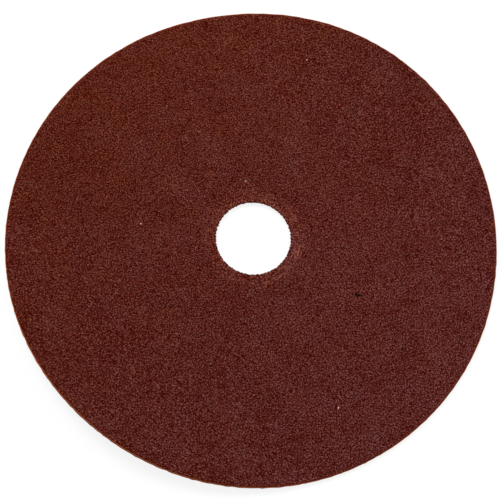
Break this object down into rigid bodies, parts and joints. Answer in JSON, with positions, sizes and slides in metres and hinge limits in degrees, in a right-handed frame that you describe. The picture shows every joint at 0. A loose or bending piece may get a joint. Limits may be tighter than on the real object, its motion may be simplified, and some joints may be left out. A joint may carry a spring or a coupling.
{
  "type": "sanding disc",
  "caption": "Round resin-bonded fibre sanding disc, grain coat on one face, plain arbor hole in the middle, slightly curled sheet.",
  "frame": {"origin": "on the axis of the arbor hole, at the back face, on the plane that the disc lies on", "axes": "+Z along the hole's axis, out of the grain face; +X to the right and +Y away from the viewer as the disc lies under the camera"},
  "size_m": [0.1016, 0.1016, 0.005],
  "materials": {
    "grain_coated_fibre": "matte"
  },
  "bodies": {
    "root": {"sanding_disc": "grain_coated_fibre"}
  },
  "joints": []
}
